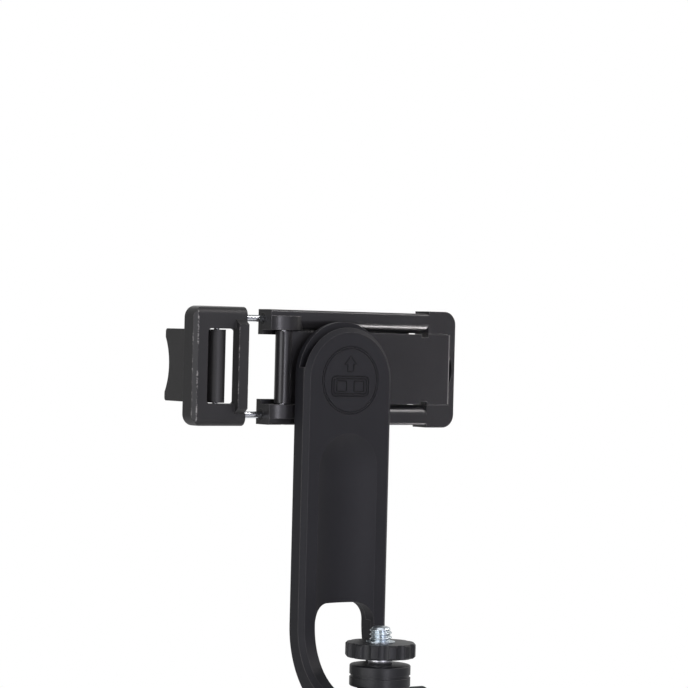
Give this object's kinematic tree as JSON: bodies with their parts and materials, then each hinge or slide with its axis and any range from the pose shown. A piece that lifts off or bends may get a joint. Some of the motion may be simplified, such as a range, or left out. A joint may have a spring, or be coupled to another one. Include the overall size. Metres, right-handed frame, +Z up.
{
  "type": "phone gimbal stabilizer",
  "caption": "Folding gimbal stabilizer: a sprung phone clamp on a motor head, a flat arm that folds over a camera-screw column, and a round handle with a flared foot.",
  "frame": {"origin": "mouth of the threaded socket in the middle of the foot's underside", "axes": "+Z up the handle's axis, +Y from the arm towards the phone, +X along the clamp towards its fixed end"},
  "size_m": [0.0916, 0.0713, 0.2536],
  "materials": {
    "black_plastic": "fine-grained moulding",
    "black_rubber": "soft matte",
    "zinc": "bright zinc plating",
    "steel": "ground",
    "bright_rod": "polished",
    "bush": "plain",
    "aluminium": "turned",
    "winding": "varnished wire",
    "magnet": "plated",
    "cell_wrap": "shrink wrap",
    "board": "lacquered board"
  },
  "bodies": {
    "handle": {"handle_shell": "black_plastic", "grip_sleeve": "black_rubber", "foot_cap": "black_plastic", "socket_insert": "zinc", "inner_carrier": "black_plastic", "battery": "cell_wrap", "control_board": "board", "pivot_hub": "black_plastic", "pivot_pin": "steel", "column_platform": "black_plastic", "camera_screw": "zinc"},
    "button": {"power_button": "black_plastic"},
    "knob_nut": {"knob_insert": "zinc"},
    "knob": {"lock_knob": "black_plastic"},
    "arm": {"arm_core": "black_plastic", "arm_cover": "black_plastic", "eye_cap_left": "black_plastic", "eye_cap_right": "black_plastic", "motor_base": "aluminium", "stator": "winding", "bearing_rear": "steel", "bearing_front": "steel"},
    "rotor": {"rotor_bell": "aluminium", "magnet_ring": "magnet", "motor_shaft": "steel", "hinge_plate": "black_plastic", "plate_screws": "steel"},
    "clamp": {"clamp_frame": "black_plastic", "hinge_pin": "steel", "phone_pad_upper": "black_rubber", "phone_pad_lower": "black_rubber", "rod_bush_upper": "bush", "rod_bush_lower": "bush", "fixed_hook_pin": "steel"},
    "jaw": {"moving_jaw": "black_plastic", "guide_rod_upper": "bright_rod", "guide_rod_lower": "bright_rod", "rod_stop_upper": "steel", "rod_stop_lower": "steel", "moving_hook_pin": "steel"},
    "jaw_hook": {"moving_hook": "black_plastic", "moving_hook_facing": "black_rubber"},
    "end_hook": {"fixed_hook": "black_plastic", "fixed_hook_facing": "black_rubber"}
  },
  "joints": [
    {"name": "arm_fold", "type": "hinge", "parent": "handle", "child": "arm", "pos_m": [0, 0, 0.14], "axis": [1, 0, 0], "range_deg": [0, 180]},
    {"name": "roll", "type": "hinge", "parent": "arm", "child": "rotor", "pos_m": [0, 0.0247, 0.2327], "axis": [0, 1, 0], "range_deg": [-90, 180]},
    {"name": "clamp_swing", "type": "hinge", "parent": "rotor", "child": "clamp", "pos_m": [-0.0173, 0.028, 0.2361], "axis": [0, 0, 1], "range_deg": [0, 70]},
    {"name": "jaw_slide", "type": "slide", "parent": "clamp", "child": "jaw", "axis": [-1, 0, 0], "range_m": [-0.007, 0.016], "stiffness_N_per_m": 300},
    {"name": "moving_hook_fold", "type": "hinge", "parent": "jaw", "child": "jaw_hook", "pos_m": [-0.0384, 0.031, 0.2361], "axis": [0, 0, -1], "range_deg": [0, 90]},
    {"name": "fixed_hook_fold", "type": "hinge", "parent": "clamp", "child": "end_hook", "pos_m": [0.0358, 0.0314, 0.2361], "axis": [0, 0, 1], "range_deg": [0, 90]},
    {"name": "knob_climb", "type": "slide", "parent": "handle", "child": "knob_nut", "axis": [0, 0, 1], "range_m": [-0.00064, 0.00254]},
    {"name": "knob_turn", "type": "hinge", "parent": "knob_nut", "child": "knob", "pos_m": [0, 0, 0.1563], "axis": [0, 0, 1], "range_deg": [-181, 721]},
    {"name": "button_press", "type": "slide", "parent": "handle", "child": "button", "axis": [0, -1, 0], "range_m": [0, 0.0006], "stiffness_N_per_m": 800, "springref_m": -0.0005}
  ],
  "couplings": [
    {"joint": "knob_turn", "follows": "knob_climb", "rad_per_m": 4947.4}
  ]
}
